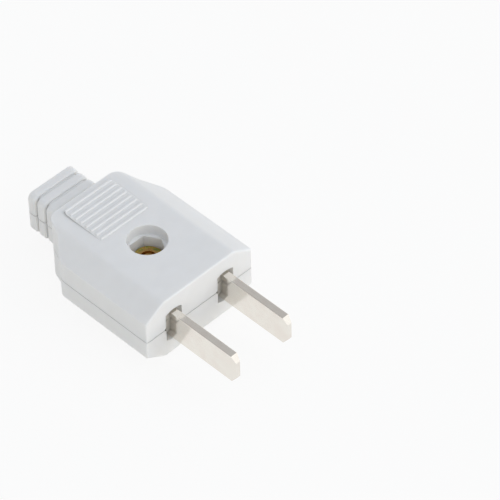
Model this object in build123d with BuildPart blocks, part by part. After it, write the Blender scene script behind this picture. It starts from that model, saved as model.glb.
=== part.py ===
from build123d import *
from math import cos, radians, sin
import os

# A rewireable two-pin plug. Two moulded half shells hold two flat blades between them,
# and one screw from below draws the halves together against a nut sunk in the top.
# X runs across the blades, the blades point to -Y and Z is up.
# The origin is the middle of the mating face, level with the middle of the blades.
# All sizes are in millimetres.

# Body: the plan from above and the section from the front cut each other
BODY_WIDTH = 26.0
BODY_HEIGHT = 13.7
BODY_LENGTH = 30.1
SIDE_HEIGHT = 8.5
FLAT_WIDTH = 17.4
SHOULDER_START = 22.2
SHOULDER_END = 26.0
SHOULDER_WIDTH = 19.7
REAR_WIDTH = 16.1
SHOULDER_RADIUS = 3.0
REAR_CORNER_RADIUS = 2.3
FACET_RADIUS = 2.0
FRONT_RADIUS = 0.35
SHELL_WALL = 1.6
FRONT_WALL = 3.4
PARTING_Z = -0.3
SEAM_GAP = 0.12

# Ringed tail with the cable entry; each ring's edges are rounded by a few facets
NECK_LENGTH = 2.05
RING_COUNT = 3
RING_LENGTH = 1.95
RING_GAP = 0.5
RING_WIDTH = 11.0
RING_HEIGHT = 9.2
RING_CORNER = 1.2
RING_EDGE = 0.4
RING_FACETS = 2
RING_SIDE_DEPTH = 0.95
RING_TOP_DEPTH = 0.35
CABLE_BORE = 6.0
PINCH_WIDTH = 5.4
PINCH_HEIGHT = 4.4
CABLE_MOUTH = 0.5

# Blades
BLADE_PITCH = 12.7
BLADE_THICKNESS = 1.5
BLADE_HEIGHT = 6.3
BLADE_REACH = 16.0
TIP_LENGTH = 1.0
TIP_THICKNESS = 0.9
TIP_DROP = 1.3
BLADE_EDGE = 0.15
EAR_LENGTH = 2.5
EAR_HEIGHT = 8.6
EAR_CLEARANCE = 0.1
BEND_RADIUS = 0.5
BEND_LENGTH = 1.9
TAB_MARGIN = 3.0
TAB_CORNER = 1.0
TAB_CLEARANCE = 0.7
BLADE_CLEARANCE = 0.15
SLOT_HEADROOM = 0.3

# Window round each blade in the mating face
WINDOW_WIDTH = 3.9
WINDOW_SIDE = 6.3
WINDOW_ARCH = 0.45
WINDOW_DEPTH = 1.6
WINDOW_NOTCH = 0.7

# Fittings inside the shells
WEB_THICKNESS = 1.5
PEG_RADIUS = 0.9
PEG_HEIGHT = 1.6
PEG_CLEARANCE = 0.1
POST_RADIUS = 1.9
PEG_SPACING = 5.6
SHELF_CLEARANCE = 0.05

# Case screw and nut
SCREW_Y = 13.1
SCREW_DIAMETER = 3.0
SCREW_LENGTH = 6.0
SCREW_END_CHAMFER = 0.3
HEAD_DIAMETER = 5.6
HEAD_HEIGHT = 2.0
HEAD_EDGE = 0.5
HEAD_CLEARANCE = 0.4
HEAD_POCKET_DEPTH = 3.0
SCREW_CLEARANCE = 0.2
THREAD_CLEARANCE = 0.05
CROSS_WIDTH = 0.9
CROSS_SPAN = 3.0
CROSS_DEPTH = 1.1
NUT_SIDES = 6
NUT_FLATS = 5.5
NUT_HEIGHT = 2.4
NUT_CORNER = 0.3
NUT_CLEARANCE = 0.2
NUT_FLOOR = 1.6
NUT_HOLE_DIAMETER = 7.5
NUT_HOLE_DEPTH = 2.3
NUT_SINK = 2.1
BOSS_WALL = 0.85
BOSS_GAP = 0.05

# Terminal screws and washers
TERMINAL_HEAD_DIAMETER = 5.0
TERMINAL_HEAD_HEIGHT = 1.8
TERMINAL_END_CLEARANCE = 0.3
WASHER_DIAMETER = 5.2
WASHER_THICKNESS = 0.6
WASHER_CLEARANCE = 0.2
WASHER_GAP = 0.3

# Grip pad: a ribbed panel that rises out of the body towards the tail
PAD_WIDTH = 11.8
PAD_START = 18.7
PAD_LENGTH = 10.2
PAD_CORNER = 1.3
PAD_RISE = 0.35
PAD_ROOT = 0.5
RIB_COUNT = 8
RIB_PITCH = 1.34
RIB_LENGTH = 11.4
RIB_WIDTH = 0.7
RIB_HEIGHT = 0.2
RIB_SLOPE = 45

# Places worked out from the sizes above
TOP_Z = BODY_HEIGHT / 2
ROOF_Z = TOP_Z - SHELL_WALL
ROOF_ROOT = TOP_Z - SHELL_WALL / 2
FLOOR_ROOT = -ROOF_ROOT
UPPER_RIM = PARTING_Z + SEAM_GAP / 2
LOWER_RIM = PARTING_Z - SEAM_GAP / 2
TAIL_END = BODY_LENGTH + NECK_LENGTH + RING_COUNT * (RING_LENGTH + RING_GAP) - RING_GAP
BLADE_X = BLADE_PITCH / 2
SLOT_WIDTH = BLADE_THICKNESS + 2 * BLADE_CLEARANCE
SLOT_HEIGHT = BLADE_HEIGHT + 2 * SLOT_HEADROOM
EAR_START = FRONT_WALL + EAR_CLEARANCE
WEB_START = EAR_START + EAR_LENGTH + EAR_CLEARANCE
WEB_END = WEB_START + WEB_THICKNESS
TAB_START = WEB_END + EAR_CLEARANCE
BEND_END = TAB_START + BEND_LENGTH
TAB_BOTTOM = -BLADE_HEIGHT / 2
TAB_TOP = TAB_BOTTOM + BLADE_THICKNESS
TAB_INNER_X = BLADE_X - BLADE_THICKNESS / 2
TAB_OUTER_X = BODY_WIDTH / 2 - SHELL_WALL - TAB_CLEARANCE
TERMINAL_X = (TAB_INNER_X + TAB_OUTER_X) / 2
TERMINAL_Y = BEND_END + WASHER_GAP + WASHER_DIAMETER / 2
TAB_END = TERMINAL_Y + TAB_MARGIN
TERMINAL_SEAT = TAB_TOP + WASHER_THICKNESS
TERMINAL_LENGTH = TERMINAL_SEAT + ROOF_Z - TERMINAL_END_CLEARANCE
SHELF_WIDTH = BODY_WIDTH / 2 - TAB_INNER_X - BLADE_THICKNESS - BEND_RADIUS
SHELF_X = BODY_WIDTH / 2 - SHELF_WIDTH / 2
SHELF_LENGTH = TAB_END - TAB_START
SHELF_Y = (TAB_START + TAB_END) / 2
SHELF_TOP = TAB_BOTTOM - SHELF_CLEARANCE
NUT_POCKET_FLATS = NUT_FLATS + 2 * NUT_CLEARANCE
NUT_SEAT = TOP_Z - NUT_HOLE_DEPTH - NUT_SINK - NUT_HEIGHT
BOSS_RADIUS = NUT_HOLE_DIAMETER / 2 + BOSS_WALL
BOSS_JOIN = NUT_SEAT - NUT_FLOOR
SCREW_HOLE_RADIUS = SCREW_DIAMETER / 2 + SCREW_CLEARANCE
THREAD_HOLE_RADIUS = SCREW_DIAMETER / 2 + THREAD_CLEARANCE
HEAD_SEAT = HEAD_POCKET_DEPTH - TOP_Z
PEG_Y = EAR_START + EAR_LENGTH / 2
PEG_SPOTS = [(-PEG_SPACING / 2, PEG_Y), (PEG_SPACING / 2, PEG_Y)]
PAD_FRONT = PAD_START - PAD_CORNER
PAD_END = PAD_START + PAD_LENGTH
RING_LAND = RING_LENGTH - 2 * RING_EDGE
CORE_WIDTH = RING_WIDTH - 2 * RING_SIDE_DEPTH
CORE_HEIGHT = RING_HEIGHT - 2 * RING_TOP_DEPTH
SIDES = {"left": -1, "right": 1}

os.makedirs("parts", exist_ok=True)


def body_form(inset):
    """Body drawn in by inset: its plan outline, cut to its eight-sided section."""
    right = [
        (BODY_WIDTH / 2, 0),
        (BODY_WIDTH / 2, SHOULDER_START),
        (SHOULDER_WIDTH / 2, SHOULDER_END),
        (REAR_WIDTH / 2, BODY_LENGTH),
    ]
    left = [(-x, y) for x, y in reversed(right)]
    upper = [(BODY_WIDTH / 2, SIDE_HEIGHT / 2), (FLAT_WIDTH / 2, TOP_Z)]
    upper += [(-x, z) for x, z in reversed(upper)]
    lower = [(x, -z) for x, z in reversed(upper)]
    with BuildPart() as form:
        with BuildSketch() as plan:
            with BuildLine():
                Polyline(*right, *left, close=True)
            make_face()
            fillet(plan.vertices().group_by(Axis.Y)[3], REAR_CORNER_RADIUS)
            fillet(plan.vertices().group_by(Axis.Y)[2], SHOULDER_RADIUS)
            fillet(plan.vertices().group_by(Axis.Y)[1], SHOULDER_RADIUS)
            if inset:
                offset(amount=-inset)
        extrude(amount=TOP_Z, both=True)
        with BuildSketch(Plane.XZ) as section:
            with BuildLine():
                Polyline(*upper, *lower, close=True)
            make_face()
            fillet(section.vertices().group_by(Axis.Y)[-1], FACET_RADIUS)
            fillet(section.vertices().group_by(Axis.Y)[0], FACET_RADIUS)
            if inset:
                offset(amount=-inset)
        extrude(amount=BODY_LENGTH, both=True, mode=Mode.INTERSECT)
    return form.part


def fitting(width, length, low, high, x, y):
    """Block inside the body, let half way into the walls it meets."""
    with BuildPart() as block:
        add(anchor)
        with Locations((x, y, (low + high) / 2)):
            Box(width, length, high - low, mode=Mode.INTERSECT)
    return block.part


def grip_pad(top_plane):
    """Ribbed wedge rooted in a face of the body, rising out of it from the pad's start to its end."""
    slope = Plane(
        origin=top_plane.from_local_coords((0, PAD_START, 0)),
        x_dir=top_plane.x_dir,
        z_dir=top_plane.z_dir * PAD_LENGTH - top_plane.y_dir * PAD_RISE,
    )
    with BuildPart() as pad:
        with BuildSketch(top_plane.offset(-PAD_ROOT)):
            with Locations((0, PAD_END)):
                RectangleRounded(PAD_WIDTH, PAD_END - PAD_FRONT, PAD_CORNER, align=(Align.CENTER, Align.MAX))
        extrude(amount=PAD_ROOT + PAD_RISE)
        split(bisect_by=slope, keep=Keep.BOTTOM)
        with BuildSketch(slope):
            with Locations((0, PAD_LENGTH / 2)):
                with GridLocations(0, RIB_PITCH, 1, RIB_COUNT):
                    Rectangle(RIB_LENGTH, RIB_WIDTH)
        extrude(amount=RIB_HEIGHT, taper=RIB_SLOPE)
    return pad.part


def cross_screw(length, head_diameter, head_height):
    """Cross-head screw, standing with its head down and the underside of the head at height 0."""
    with BuildPart() as screw:
        with Locations((0, 0, -head_height)):
            Cylinder(head_diameter / 2, head_height, align=(Align.CENTER, Align.CENTER, Align.MIN))
        chamfer(screw.edges().group_by(Axis.Z)[0], HEAD_EDGE)
        Cylinder(SCREW_DIAMETER / 2, length, align=(Align.CENTER, Align.CENTER, Align.MIN))
        chamfer(screw.edges().group_by(Axis.Z)[-1], SCREW_END_CHAMFER)
        with Locations((0, 0, -head_height)):
            Box(CROSS_SPAN, CROSS_WIDTH, 2 * CROSS_DEPTH, mode=Mode.SUBTRACT)
            Box(CROSS_WIDTH, CROSS_SPAN, 2 * CROSS_DEPTH, mode=Mode.SUBTRACT)
    return screw.part


# Outside of the whole body, cavity inside it, and the form that fittings are let into
with BuildPart() as ring:
    for step in range(RING_FACETS + 1):
        turn = radians(90 * step / RING_FACETS)
        inset = RING_EDGE * (1 - sin(turn))
        with BuildSketch(Plane.XZ.offset(RING_EDGE * cos(turn) - RING_EDGE)):
            RectangleRounded(RING_WIDTH - 2 * inset, RING_HEIGHT - 2 * inset, RING_CORNER - inset)
    loft(ruled=True)
    extrude(ring.faces().sort_by(Axis.Y)[-1], amount=RING_LAND / 2)
    mirror(about=Plane.XZ.offset(-RING_LENGTH / 2))

with BuildPart() as outside:
    add(body_form(0))
    fillet(outside.faces().sort_by(Axis.Y)[0].edges(), FRONT_RADIUS)
    with BuildSketch(Plane.XZ.offset(-BODY_LENGTH)):
        with Locations((0, PARTING_Z)):
            RectangleRounded(CORE_WIDTH, CORE_HEIGHT, RING_CORNER - RING_TOP_DEPTH)
    extrude(amount=BODY_LENGTH - TAIL_END + RING_EDGE)
    for index in range(RING_COUNT):
        with Locations((0, BODY_LENGTH + NECK_LENGTH + index * (RING_LENGTH + RING_GAP), PARTING_Z)):
            add(ring.part)

with BuildPart() as cavity:
    add(body_form(SHELL_WALL))
    split(bisect_by=Plane.XZ.offset(-FRONT_WALL), keep=Keep.BOTTOM)

anchor = body_form(SHELL_WALL / 2)

with BuildPart() as blade_ways:
    with BuildSketch(Plane.XZ):
        with BuildLine():
            half_width = WINDOW_WIDTH / 2
            high = WINDOW_SIDE / 2
            top = ThreePointArc((half_width, high), (0, high + WINDOW_ARCH), (-half_width, high))
            low = -high
            Line(top @ 1, (-half_width, low))
            bottom = ThreePointArc((-half_width, low), (0, low - WINDOW_ARCH), (half_width, low))
            Line(bottom @ 1, top @ 0)
        make_face()
        with GridLocations(WINDOW_WIDTH, 0, 2, 1):
            with Locations((0, PARTING_Z)):
                Rectangle(WINDOW_NOTCH, WINDOW_NOTCH, rotation=45)
    extrude(amount=-WINDOW_DEPTH)
    with BuildSketch(Plane.XZ):
        Rectangle(SLOT_WIDTH, SLOT_HEIGHT)
    extrude(amount=-TAB_START)

# Cable way: a bore through the tail, and a lower slot in the rear wall that pinches the cable
with BuildPart() as cable_way:
    with BuildSketch(Plane.XZ.offset(-TAIL_END)):
        Circle(CABLE_BORE / 2)
    extrude(amount=TAIL_END - BODY_LENGTH)
    with BuildSketch(Plane.XZ.offset(-BODY_LENGTH)):
        SlotOverall(PINCH_WIDTH, PINCH_HEIGHT)
    extrude(amount=2 * SHELL_WALL)
    with Locations(Location((0, TAIL_END - CABLE_MOUTH / 2, 0), (-90, 0, 0))):
        Cone(CABLE_BORE / 2, CABLE_BORE / 2 + CABLE_MOUTH, CABLE_MOUTH)

# Room round each terminal, let into the side walls where the body is made narrower
with BuildPart() as terminal_room:
    with BuildSketch(Plane.XY.offset(TAB_TOP)):
        with GridLocations(2 * TERMINAL_X, 0, 2, 1):
            with Locations((0, TERMINAL_Y)):
                Circle(WASHER_DIAMETER / 2 + WASHER_CLEARANCE)
    extrude(amount=WASHER_THICKNESS + TERMINAL_HEAD_HEIGHT + WASHER_CLEARANCE)

# Upper shell: roof, nut boss, peg sockets, blade and cable ways, grip pad
with BuildPart() as upper_shell:
    add(outside.part)
    split(bisect_by=Plane.XY.offset(UPPER_RIM), keep=Keep.TOP)
    add(cavity.part, mode=Mode.SUBTRACT)
    add(fitting(BODY_WIDTH, WEB_THICKNESS, UPPER_RIM, TOP_Z, 0, WEB_START + WEB_THICKNESS / 2))
    with BuildSketch(Plane.XY.offset(UPPER_RIM)):
        with Locations(PEG_SPOTS):
            Circle(POST_RADIUS)
    extrude(amount=ROOF_ROOT - UPPER_RIM)
    with BuildSketch(Plane.XY.offset(BOSS_JOIN)):
        with Locations((0, SCREW_Y)):
            Circle(BOSS_RADIUS)
    extrude(amount=ROOF_ROOT - BOSS_JOIN)
    for side in SIDES.values():
        with Locations((side * BLADE_X, 0, 0)):
            add(blade_ways.part, mode=Mode.SUBTRACT)
    add(cable_way.part, mode=Mode.SUBTRACT)
    add(terminal_room.part, mode=Mode.SUBTRACT)
    add(grip_pad(Plane.XY.offset(TOP_Z)))
    with BuildSketch(Plane.XY.offset(UPPER_RIM)):
        with Locations(PEG_SPOTS):
            Circle(PEG_RADIUS + PEG_CLEARANCE)
    extrude(amount=PEG_HEIGHT + PEG_CLEARANCE, mode=Mode.SUBTRACT)
    with BuildSketch(Plane.XY.offset(TOP_Z)):
        with Locations((0, SCREW_Y)):
            Circle(NUT_HOLE_DIAMETER / 2)
    extrude(amount=-NUT_HOLE_DEPTH, mode=Mode.SUBTRACT)
    with BuildSketch(Plane.XY.offset(NUT_SEAT)):
        with Locations((0, SCREW_Y)):
            RegularPolygon(NUT_POCKET_FLATS / 2, NUT_SIDES, major_radius=False)
    extrude(amount=NUT_HEIGHT + NUT_SINK, mode=Mode.SUBTRACT)
    with Locations((0, SCREW_Y, TOP_Z)):
        Hole(SCREW_HOLE_RADIUS, depth=BODY_HEIGHT)
upper_shell.part.label = "upper_shell"
export_step(upper_shell.part, "parts/upper_shell.step")

# Lower shell: floor, screw boss, pegs, terminal shelves, blade and cable ways, grip pad
with BuildPart() as lower_shell:
    add(outside.part)
    split(bisect_by=Plane.XY.offset(LOWER_RIM), keep=Keep.BOTTOM)
    add(cavity.part, mode=Mode.SUBTRACT)
    add(fitting(BODY_WIDTH, WEB_THICKNESS, -TOP_Z, LOWER_RIM, 0, WEB_START + WEB_THICKNESS / 2))
    with BuildSketch(Plane.XY.offset(FLOOR_ROOT)):
        with Locations(PEG_SPOTS):
            Circle(POST_RADIUS)
    extrude(amount=LOWER_RIM - FLOOR_ROOT)
    with BuildSketch(Plane.XY.offset(FLOOR_ROOT)):
        with Locations(PEG_SPOTS):
            Circle(PEG_RADIUS)
    extrude(amount=UPPER_RIM + PEG_HEIGHT - FLOOR_ROOT)
    with BuildSketch(Plane.XY.offset(FLOOR_ROOT)):
        with Locations((0, SCREW_Y)):
            Circle(BOSS_RADIUS)
    extrude(amount=BOSS_JOIN - BOSS_GAP - FLOOR_ROOT)
    for side in SIDES.values():
        add(fitting(SHELF_WIDTH, SHELF_LENGTH, -TOP_Z, SHELF_TOP, side * SHELF_X, SHELF_Y))
        with Locations((side * BLADE_X, 0, 0)):
            add(blade_ways.part, mode=Mode.SUBTRACT)
    with BuildSketch(Plane.XY.offset(-ROOF_Z)):
        with GridLocations(2 * TERMINAL_X, 0, 2, 1):
            with Locations((0, TERMINAL_Y)):
                Circle(SCREW_HOLE_RADIUS)
    extrude(amount=ROOF_Z + TAB_BOTTOM, mode=Mode.SUBTRACT)
    add(cable_way.part, mode=Mode.SUBTRACT)
    add(terminal_room.part, mode=Mode.SUBTRACT)
    add(grip_pad(Plane.XY.offset(-TOP_Z).rotated((0, 180, 0))))
    with BuildSketch(Plane.XY.offset(-TOP_Z)):
        with Locations((0, SCREW_Y)):
            Circle(HEAD_DIAMETER / 2 + HEAD_CLEARANCE)
    extrude(amount=HEAD_POCKET_DEPTH, mode=Mode.SUBTRACT)
    with Locations((0, SCREW_Y, TOP_Z)):
        Hole(SCREW_HOLE_RADIUS, depth=BODY_HEIGHT)
lower_shell.part.label = "lower_shell"
export_step(lower_shell.part, "parts/lower_shell.step")

# Case screw from below and the nut it pulls on
with BuildPart() as case_screw:
    with Locations((0, SCREW_Y, HEAD_SEAT)):
        add(cross_screw(SCREW_LENGTH, HEAD_DIAMETER, HEAD_HEIGHT))
case_screw.part.label = "case_screw"
export_step(case_screw.part, "parts/case_screw.step")

with BuildPart() as nut_blank:
    Cylinder(NUT_FLATS / 2 + NUT_CORNER, NUT_HEIGHT)
    chamfer(nut_blank.edges().filter_by(GeomType.CIRCLE), NUT_CORNER)

with BuildPart() as case_nut:
    with BuildSketch(Plane.XY.offset(NUT_SEAT)):
        with Locations((0, SCREW_Y)):
            RegularPolygon(NUT_FLATS / 2, NUT_SIDES, major_radius=False)
    extrude(amount=NUT_HEIGHT)
    with Locations((0, SCREW_Y, NUT_SEAT + NUT_HEIGHT / 2)):
        add(nut_blank.part, mode=Mode.INTERSECT)
        Hole(THREAD_HOLE_RADIUS)
case_nut.part.label = "case_nut"
export_step(case_nut.part, "parts/case_nut.step")

# Blades: an upright strip with a tapered tip, locking ears, and a tab folded outwards for the terminal
with BuildPart() as right_blade:
    upper_edge = [
        (-BLADE_REACH, BLADE_HEIGHT / 2 - TIP_DROP),
        (TIP_LENGTH - BLADE_REACH, BLADE_HEIGHT / 2),
        (EAR_START, BLADE_HEIGHT / 2),
        (EAR_START, EAR_HEIGHT / 2),
        (EAR_START + EAR_LENGTH, EAR_HEIGHT / 2),
        (EAR_START + EAR_LENGTH, BLADE_HEIGHT / 2),
        (TAB_START, BLADE_HEIGHT / 2),
    ]
    lower_edge = [(y, -z) for y, z in reversed(upper_edge)]
    with BuildSketch(Plane.YZ.offset(BLADE_X)):
        with BuildLine():
            Polyline(*upper_edge, *lower_edge, close=True)
        make_face()
    extrude(amount=BLADE_THICKNESS / 2, both=True)
    outer_face = [
        (TIP_THICKNESS / 2, -BLADE_REACH),
        (BLADE_THICKNESS / 2, TIP_LENGTH - BLADE_REACH),
        (BLADE_THICKNESS / 2, TAB_START),
    ]
    inner_face = [(-x, y) for x, y in reversed(outer_face)]
    with BuildSketch(Plane((BLADE_X, 0, 0))):
        with BuildLine():
            Polyline(*outer_face, *inner_face, close=True)
        make_face()
    extrude(amount=EAR_HEIGHT, both=True, mode=Mode.INTERSECT)
    fillet(right_blade.edges().filter_by(Axis.Y).group_by(Axis.Y)[0], BLADE_EDGE)
    with BuildSketch(Plane.XZ.offset(-TAB_START)) as bend:
        with BuildLine():
            Polyline(
                (TAB_INNER_X, BLADE_HEIGHT / 2),
                (TAB_INNER_X, TAB_BOTTOM),
                (TAB_OUTER_X, TAB_BOTTOM),
                (TAB_OUTER_X, TAB_TOP),
                (TAB_INNER_X + BLADE_THICKNESS, TAB_TOP),
                (TAB_INNER_X + BLADE_THICKNESS, BLADE_HEIGHT / 2),
                close=True,
            )
        make_face()
        fillet(bend.vertices().group_by(Axis.Y)[1].sort_by(Axis.X)[0], BEND_RADIUS)
        fillet(bend.vertices().group_by(Axis.Y)[0].sort_by(Axis.X)[0], BEND_RADIUS + BLADE_THICKNESS)
    extrude(amount=TAB_START - TAB_END)
    with BuildSketch(Plane.XY.offset(TAB_TOP)):
        with Locations((BLADE_X, BEND_END)):
            Rectangle(BLADE_PITCH, TAB_END, align=(Align.CENTER, Align.MIN))
    extrude(amount=BLADE_HEIGHT, mode=Mode.SUBTRACT)
    fillet(right_blade.edges().filter_by(Axis.Z).group_by(Axis.Y)[-1], TAB_CORNER)
    with Locations((TERMINAL_X, TERMINAL_Y, TAB_TOP)):
        Hole(THREAD_HOLE_RADIUS, depth=BLADE_HEIGHT)
right_blade.part.label = "right_blade"
export_step(right_blade.part, "parts/right_blade.step")

with BuildPart() as left_blade:
    mirror(right_blade.part, about=Plane.YZ)
left_blade.part.label = "left_blade"
export_step(left_blade.part, "parts/left_blade.step")

# Terminal screws, head up, each with its clamp washer on the blade's tab
for name, side in SIDES.items():
    with BuildPart() as terminal_screw:
        with Locations(Location((side * TERMINAL_X, TERMINAL_Y, TERMINAL_SEAT), (180, 0, 0))):
            add(cross_screw(TERMINAL_LENGTH, TERMINAL_HEAD_DIAMETER, TERMINAL_HEAD_HEIGHT))
    terminal_screw.part.label = name + "_terminal_screw"
    export_step(terminal_screw.part, "parts/" + name + "_terminal_screw.step")
    with BuildPart() as terminal_washer:
        with BuildSketch(Plane.XY.offset(TAB_TOP)):
            with Locations((side * TERMINAL_X, TERMINAL_Y)):
                Circle(WASHER_DIAMETER / 2)
                Circle(SCREW_HOLE_RADIUS, mode=Mode.SUBTRACT)
        extrude(amount=WASHER_THICKNESS)
    terminal_washer.part.label = name + "_terminal_washer"
    export_step(terminal_washer.part, "parts/" + name + "_terminal_washer.step")
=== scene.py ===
import bpy
from math import cos, radians, sin
from mathutils import Matrix, Vector


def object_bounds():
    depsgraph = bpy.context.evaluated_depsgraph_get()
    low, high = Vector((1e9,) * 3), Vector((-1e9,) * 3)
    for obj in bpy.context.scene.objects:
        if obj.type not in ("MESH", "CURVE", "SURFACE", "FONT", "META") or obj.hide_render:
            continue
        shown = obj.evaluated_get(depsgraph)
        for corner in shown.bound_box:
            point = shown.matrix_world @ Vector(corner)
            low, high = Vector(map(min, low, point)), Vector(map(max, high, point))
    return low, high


# Looks of a plug with two flat blades: white moulded plastic, nickel plate and zinc.
# Lengths are in metres, in the frame of the solids: blades to -Y, Z up.

MM = 0.001

# Camera: a long lens above the plug's front left corner, with angles in degrees
CAMERA_AZIMUTH = -43.9
CAMERA_ELEVATION = 45.9
CAMERA_ROLL = -1.4
CAMERA_DISTANCE = 628 * MM
CAMERA_TARGET = Vector((15.71, 3.26, -0.3)) * MM
CAMERA_LENS = 252
CAMERA_SENSOR = 36

# Surround: warm light near the horizon and cool light above, by a direction's height from 0 to 1
SURROUND_LEVEL = 0.43
SURROUND_LOW = (2.25, 2.10, 1.78, 1)
SURROUND_HIGH = (0.90, 0.97, 1.09, 1)
SURROUND_STOPS = [(0.05, SURROUND_LOW), (0.35, SURROUND_HIGH)]

# Brighter sides of the surround: direction, level, cosine where it starts, and colour
SURROUND_LOBES = [
    ((0.72, -0.54, 0.43), 0.335, -1.0, (1.0, 1.0, 1.0, 1)),
    ((0.12, -0.99, 0.05), 0.52, 0.3, (0.96, 0.99, 1.06, 1)),
]

# The surround as it is seen and mirrored: white low down, grey above and darker overhead
SEEN_LOW = (1.0, 1.0, 1.0, 1)
SEEN_HIGH = (0.56, 0.56, 0.57, 1)
SEEN_TOP = (0.30, 0.30, 0.30, 1)
SEEN_STOPS = [(0.3, SEEN_LOW), (0.68, SEEN_HIGH), (0.78, SEEN_HIGH), (0.88, SEEN_TOP)]
SEEN_SHARE = 1.0

# Lamp: large and soft, above the front right
LAMP_DIRECTION = Vector((0.55, -0.60, 0.58))
LAMP_DISTANCE = 0.6
LAMP_SIZE = 0.4
LAMP_POWER = 0.25

# Floor
FLOOR_SIZE = 4.0
FLOOR_WHITE = (0.98, 0.965, 0.925, 1)
FLOOR_GLOW_SHARE = 0.87

# Plastic. Here and below, colours are linear values and a texture's stops run from 0 to 1
PLASTIC_DARK = (0.88, 0.875, 0.857, 1)
PLASTIC_LIGHT = (0.90, 0.895, 0.877, 1)
PLASTIC_STOPS = [(0.35, PLASTIC_DARK), (0.65, PLASTIC_LIGHT)]
PLASTIC_MOTTLE = 3.5 * MM
PLASTIC_ROUGHNESS = (0.40, 0.50)
PLASTIC_IOR = 1.46
PLASTIC_SCATTER_SHARE = 0.6
PLASTIC_SCATTER_DEPTH = 0.7 * MM
PLASTIC_SCATTER_TINT = (1.0, 0.95, 0.9)
PLASTIC_GRAIN = 0.12 * MM
PLASTIC_GRAIN_DEPTH = 0.004 * MM

# Painted shade in narrow gaps: full below the first share of open air within reach, none at the second
PLASTIC_PAINTED_SHADE = (0.62, 0.615, 0.595, 1)
CREVICE_REACH = 0.4 * MM
CREVICE_RANGE = (0.45, 1.0)
CREVICE_SAMPLES = 16

# The nut hole gets no painted shade: none within the first distance of a point above the nut
SHADE_FREE_ABOVE_NUT = 1.05 * MM
SHADE_FREE_REACH = (4.6 * MM, 5.2 * MM)

# Nickel plate
NICKEL_ROSE = (0.82, 0.772, 0.712, 1)
NICKEL_LIGHT = (0.84, 0.808, 0.748, 1)
NICKEL_STOPS = [(0.38, NICKEL_ROSE), (0.6, NICKEL_LIGHT)]
NICKEL_TARNISH = 3.0 * MM
NICKEL_STREAK = 0.5 * MM
NICKEL_STREAK_SCALE = (1, 0.04, 1)
NICKEL_STREAK_DEPTH = 0.002 * MM
NICKEL_STREAK_STRENGTH = 0.3
NICKEL_ROUGHNESS = (0.10, 0.22)

# Yellow zinc, with painted shade within the first distance of the thread's mouth and plain past the
# second
ZINC_GREEN = (0.26, 0.31, 0.08, 1)
ZINC_GOLD = (0.66, 0.50, 0.14, 1)
ZINC_ROSE = (0.42, 0.17, 0.07, 1)
ZINC_STOPS = [(0.32, ZINC_GREEN), (0.5, ZINC_GOLD), (0.68, ZINC_ROSE)]
ZINC_PATCH = 0.9 * MM
ZINC_PAINTED_SHADE = (0.56, 0.36, 0.13, 1)
ZINC_SHADE_REACH = (1.9 * MM, 2.2 * MM)
ZINC_ROUGHNESS = (0.18, 0.34)
ZINC_GRAIN = 0.2 * MM
ZINC_GRAIN_DEPTH = 0.006 * MM

# Bright zinc on steel
STEEL_DARK = (0.52, 0.52, 0.53, 1)
STEEL_LIGHT = (0.66, 0.66, 0.67, 1)
STEEL_STOPS = [(0.3, STEEL_DARK), (0.7, STEEL_LIGHT)]
STEEL_GRAIN = 0.4 * MM
STEEL_GRAIN_SCALE = (1, 1, 6)
STEEL_GRAIN_DEPTH = 0.004 * MM
STEEL_ROUGHNESS = (0.22, 0.36)

# Share of the grain's depth that shows, on all but the nickel
GRAIN_STRENGTH = 0.5

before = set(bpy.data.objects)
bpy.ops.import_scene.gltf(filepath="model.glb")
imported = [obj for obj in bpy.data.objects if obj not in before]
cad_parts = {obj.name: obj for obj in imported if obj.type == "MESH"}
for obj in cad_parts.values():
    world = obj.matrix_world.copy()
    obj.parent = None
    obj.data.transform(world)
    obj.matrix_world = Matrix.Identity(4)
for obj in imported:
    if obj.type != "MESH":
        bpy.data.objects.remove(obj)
cad_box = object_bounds()


def top_middle(node):
    """The middle of the top of a node's box, in the shared frame."""
    corners = [Vector(corner) for corner in node.bound_box]
    middle = sum(corners, Vector()) / len(corners)
    return Vector((middle.x, middle.y, max(corner.z for corner in corners)))


def new_material(name):
    """A new material, with its node tree and its shader."""
    material = bpy.data.materials.new(name)
    material.use_nodes = True
    tree = material.node_tree
    return material, tree, tree.nodes["Principled BSDF"]


def noise(tree, size, detail, scale=(1, 1, 1)):
    """Noise of the given size over the shared frame, drawn out along an axis whose scale is below 1."""
    place = tree.nodes.new("ShaderNodeTexCoord")
    mapping = tree.nodes.new("ShaderNodeMapping")
    mapping.inputs["Scale"].default_value = scale
    texture = tree.nodes.new("ShaderNodeTexNoise")
    texture.inputs["Scale"].default_value = 1 / size
    texture.inputs["Detail"].default_value = detail
    tree.links.new(place.outputs["Object"], mapping.inputs["Vector"])
    tree.links.new(mapping.outputs["Vector"], texture.inputs["Vector"])
    return texture.outputs["Fac"]


def ramp(tree, value, stops):
    """Colour from a value, through stops of place and colour."""
    node = tree.nodes.new("ShaderNodeValToRGB")
    elements = node.color_ramp.elements
    while len(elements) < len(stops):
        elements.new(0.5)
    for element, (place, colour) in zip(elements, stops):
        element.position = place
        element.color = colour
    tree.links.new(value, node.inputs["Fac"])
    return node.outputs["Color"]


def spread(tree, value, low, high, start=0.0, end=1.0):
    """A value from start..end spread to low..high."""
    node = tree.nodes.new("ShaderNodeMapRange")
    node.inputs["From Min"].default_value = start
    node.inputs["From Max"].default_value = end
    node.inputs["To Min"].default_value = low
    node.inputs["To Max"].default_value = high
    tree.links.new(value, node.inputs["Value"])
    return node.outputs["Result"]


def tinted(tree, share, tint, colour):
    """The tint where the share is 0, and the colour where it is 1."""
    node = tree.nodes.new("ShaderNodeMix")
    node.data_type = "RGBA"
    first, second = [socket for socket in node.inputs if socket.type == "RGBA"]
    result = [socket for socket in node.outputs if socket.type == "RGBA"][0]
    first.default_value = tint
    tree.links.new(share, node.inputs["Factor"])
    tree.links.new(colour, second)
    return result


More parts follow.
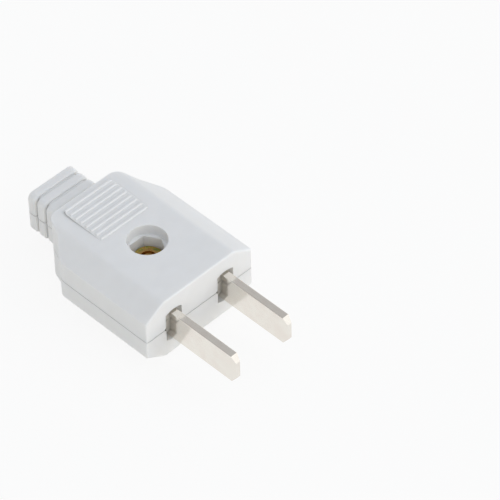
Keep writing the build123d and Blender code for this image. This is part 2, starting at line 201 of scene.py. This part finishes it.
def distance_from(tree, point):
    """Distance in metres from a point of the shared frame."""
    place = tree.nodes.new("ShaderNodeTexCoord")
    node = tree.nodes.new("ShaderNodeVectorMath")
    node.operation = "DISTANCE"
    node.inputs[1].default_value = point
    tree.links.new(place.outputs["Object"], node.inputs[0])
    return node.outputs["Value"]


def larger(tree, one, other):
    """The larger of two values."""
    node = tree.nodes.new("ShaderNodeMath")
    node.operation = "MAXIMUM"
    tree.links.new(one, node.inputs[0])
    tree.links.new(other, node.inputs[1])
    return node.outputs[0]


def coat(tree, shader, colour, texture, roughness):
    """The shader's colour, and its roughness over a range that follows a texture."""
    tree.links.new(colour, shader.inputs["Base Color"])
    tree.links.new(spread(tree, texture, *roughness), shader.inputs["Roughness"])


def bump(tree, shader, height, depth, strength):
    """Fine relief of the given depth in metres."""
    node = tree.nodes.new("ShaderNodeBump")
    node.inputs["Strength"].default_value = strength
    node.inputs["Distance"].default_value = depth
    tree.links.new(height, node.inputs["Height"])
    tree.links.new(node.outputs["Normal"], shader.inputs["Normal"])


def plastic_material():
    """White moulded plastic: satin, with a faint mottle, the mould's fine grain and painted shade in
    its gaps.
    """
    material, tree, shader = new_material("white_plastic")
    mottle = noise(tree, PLASTIC_MOTTLE, detail=3)
    unshaded = ramp(tree, mottle, PLASTIC_STOPS)
    # Painted shade: the colour turns grey where ambient occlusion finds other surfaces close by, but
    # not in the nut hole
    corners = tree.nodes.new("ShaderNodeAmbientOcclusion")
    corners.samples = CREVICE_SAMPLES
    corners.inputs["Distance"].default_value = CREVICE_REACH
    open_air = spread(tree, corners.outputs["AO"], 0, 1, *CREVICE_RANGE)
    hole = top_middle(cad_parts["case_nut"]) + Vector((0, 0, SHADE_FREE_ABOVE_NUT))
    in_hole = spread(tree, distance_from(tree, hole), 1, 0, *SHADE_FREE_REACH)
    colour = tinted(tree, larger(tree, open_air, in_hole), PLASTIC_PAINTED_SHADE, unshaded)
    coat(tree, shader, colour, mottle, PLASTIC_ROUGHNESS)
    shader.inputs["IOR"].default_value = PLASTIC_IOR
    shader.inputs["Subsurface Weight"].default_value = PLASTIC_SCATTER_SHARE
    shader.inputs["Subsurface Radius"].default_value = PLASTIC_SCATTER_TINT
    shader.inputs["Subsurface Scale"].default_value = PLASTIC_SCATTER_DEPTH
    grain = noise(tree, PLASTIC_GRAIN, detail=2)
    bump(tree, shader, grain, PLASTIC_GRAIN_DEPTH, GRAIN_STRENGTH)
    return material


def nickel_material():
    """Nickel plate on rolled strip: bright, with a rosy tarnish and faint streaks along the blade."""
    material, tree, shader = new_material("nickel_plate")
    shader.inputs["Metallic"].default_value = 1.0
    tarnish = noise(tree, NICKEL_TARNISH, detail=2)
    streaks = noise(tree, NICKEL_STREAK, detail=4, scale=NICKEL_STREAK_SCALE)
    coat(tree, shader, ramp(tree, tarnish, NICKEL_STOPS), streaks, NICKEL_ROUGHNESS)
    bump(tree, shader, streaks, NICKEL_STREAK_DEPTH, NICKEL_STREAK_STRENGTH)
    return material


def zinc_material():
    """Yellow passivated zinc: gold with green and rose patches, and painted shade round the nut's
    thread.
    """
    material, tree, shader = new_material("yellow_zinc")
    shader.inputs["Metallic"].default_value = 1.0
    patches = noise(tree, ZINC_PATCH, detail=3)
    # Painted shade: the zinc turns dark brown round the thread's mouth, on the nut and on the screw's
    # end there
    from_thread = distance_from(tree, top_middle(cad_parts["case_nut"]))
    zinc_unshaded = spread(tree, from_thread, 0, 1, *ZINC_SHADE_REACH)
    colour = tinted(tree, zinc_unshaded, ZINC_PAINTED_SHADE, ramp(tree, patches, ZINC_STOPS))
    coat(tree, shader, colour, patches, ZINC_ROUGHNESS)
    grain = noise(tree, ZINC_GRAIN, detail=2)
    bump(tree, shader, grain, ZINC_GRAIN_DEPTH, GRAIN_STRENGTH)
    return material


def steel_material():
    """Bright zinc on steel: grey with a fine turned grain."""
    material, tree, shader = new_material("bright_zinc")
    shader.inputs["Metallic"].default_value = 1.0
    grain = noise(tree, STEEL_GRAIN, detail=3, scale=STEEL_GRAIN_SCALE)
    coat(tree, shader, ramp(tree, grain, STEEL_STOPS), grain, STEEL_ROUGHNESS)
    bump(tree, shader, grain, STEEL_GRAIN_DEPTH, GRAIN_STRENGTH)
    return material


def ray_share(tree, share):
    """The share for rays that are seen or mirrored, and 0 for rays that light the object."""
    path = tree.nodes.new("ShaderNodeLightPath")
    total = path.outputs["Is Camera Ray"]
    for kind in ("Is Glossy Ray", "Is Transmission Ray"):
        total = larger(tree, total, path.outputs[kind])
    return spread(tree, total, 0, share)


def mixed(tree, share, one, other):
    """Two shaders, the second by its share."""
    node = tree.nodes.new("ShaderNodeMixShader")
    tree.links.new(share, node.inputs["Fac"])
    tree.links.new(one.outputs[0], node.inputs[1])
    tree.links.new(other.outputs[0], node.inputs[2])
    return node.outputs[0]


def make_floor():
    """Pale floor under the plug: it keeps a soft shadow and is seen as almost white."""
    half = FLOOR_SIZE / 2
    mesh = bpy.data.meshes.new("floor")
    corners = [(-half, -half, 0), (half, -half, 0), (half, half, 0), (-half, half, 0)]
    mesh.from_pydata(corners, [], [(0, 1, 2, 3)])
    floor = bpy.data.objects.new("floor", mesh)
    floor.location.z = cad_box[0][2]
    bpy.context.scene.collection.objects.link(floor)
    material, tree, shader = new_material("pale_floor")
    tree.nodes.remove(shader)
    matt = tree.nodes.new("ShaderNodeBsdfDiffuse")
    matt.inputs["Color"].default_value = FLOOR_WHITE
    glow = tree.nodes.new("ShaderNodeEmission")
    surface = mixed(tree, ray_share(tree, FLOOR_GLOW_SHARE), matt, glow)
    tree.links.new(surface, tree.nodes["Material Output"].inputs["Surface"])
    mesh.materials.append(material)


def make_world():
    """Pale surround, brighter in front, with its own greys where it is seen or mirrored."""
    world = bpy.data.worlds.new("surround")
    bpy.context.scene.world = world
    world.use_nodes = True
    tree = world.node_tree
    direction = tree.nodes.new("ShaderNodeTexCoord").outputs["Generated"]
    split = tree.nodes.new("ShaderNodeSeparateXYZ")
    tree.links.new(direction, split.inputs[0])
    height = split.outputs["Z"]
    light = tree.nodes["Background"]
    light.inputs["Strength"].default_value = SURROUND_LEVEL
    tree.links.new(ramp(tree, height, SURROUND_STOPS), light.inputs["Color"])
    for towards, level, start, colour in SURROUND_LOBES:
        cosine = tree.nodes.new("ShaderNodeVectorMath")
        cosine.operation = "DOT_PRODUCT"
        cosine.inputs[1].default_value = towards
        tree.links.new(direction, cosine.inputs[0])
        lobe = tree.nodes.new("ShaderNodeBackground")
        lobe.inputs["Color"].default_value = colour
        strength = spread(tree, cosine.outputs["Value"], 0, level, start)
        tree.links.new(strength, lobe.inputs["Strength"])
        both = tree.nodes.new("ShaderNodeAddShader")
        tree.links.new(light.outputs[0], both.inputs[0])
        tree.links.new(lobe.outputs[0], both.inputs[1])
        light = both
    seen = tree.nodes.new("ShaderNodeBackground")
    tree.links.new(ramp(tree, height, SEEN_STOPS), seen.inputs["Color"])
    surface = mixed(tree, ray_share(tree, SEEN_SHARE), light, seen)
    tree.links.new(surface, tree.nodes["World Output"].inputs["Surface"])


def make_lamp():
    """One large soft lamp above the front right, facing the origin."""
    data = bpy.data.lights.new("front_softbox", "AREA")
    data.size = LAMP_SIZE
    data.energy = LAMP_POWER
    lamp = bpy.data.objects.new("front_softbox", data)
    towards = LAMP_DIRECTION.normalized()
    lamp.location = towards * LAMP_DISTANCE
    lamp.rotation_euler = towards.to_track_quat("Z", "Y").to_euler()
    bpy.context.scene.collection.objects.link(lamp)


def make_camera():
    """Camera at the photograph's viewing angle, turned a little about its own axis."""
    azimuth, elevation, roll = [radians(a) for a in (CAMERA_AZIMUTH, CAMERA_ELEVATION, CAMERA_ROLL)]
    back = Vector((sin(azimuth) * cos(elevation), -cos(azimuth) * cos(elevation), sin(elevation)))
    level = Vector((cos(azimuth), sin(azimuth), 0))
    upright = back.cross(level)
    right = level * cos(roll) + upright * sin(roll)
    up = upright * cos(roll) - level * sin(roll)
    data = bpy.data.cameras.new("camera")
    data.sensor_width = CAMERA_SENSOR
    data.lens = CAMERA_LENS
    camera = bpy.data.objects.new("camera", data)
    turn = Matrix((right, up, back)).transposed().to_4x4()
    camera.matrix_world = Matrix.Translation(CAMERA_TARGET + back * CAMERA_DISTANCE) @ turn
    bpy.context.scene.collection.objects.link(camera)
    bpy.context.scene.camera = camera


MATERIAL_NODES = [
    (plastic_material(), ["upper_shell", "lower_shell"]),
    (nickel_material(), ["left_blade", "right_blade"]),
    (zinc_material(), ["case_nut", "case_screw"]),
    (steel_material(), [
        "left_terminal_screw", "right_terminal_screw", "left_terminal_washer", "right_terminal_washer",
    ]),
]
for material, names in MATERIAL_NODES:
    for name in names:
        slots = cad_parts[name].data.materials
        slots.clear()
        slots.append(material)

make_floor()
make_world()
make_lamp()
make_camera()
bpy.context.scene.view_settings.view_transform = "Standard"
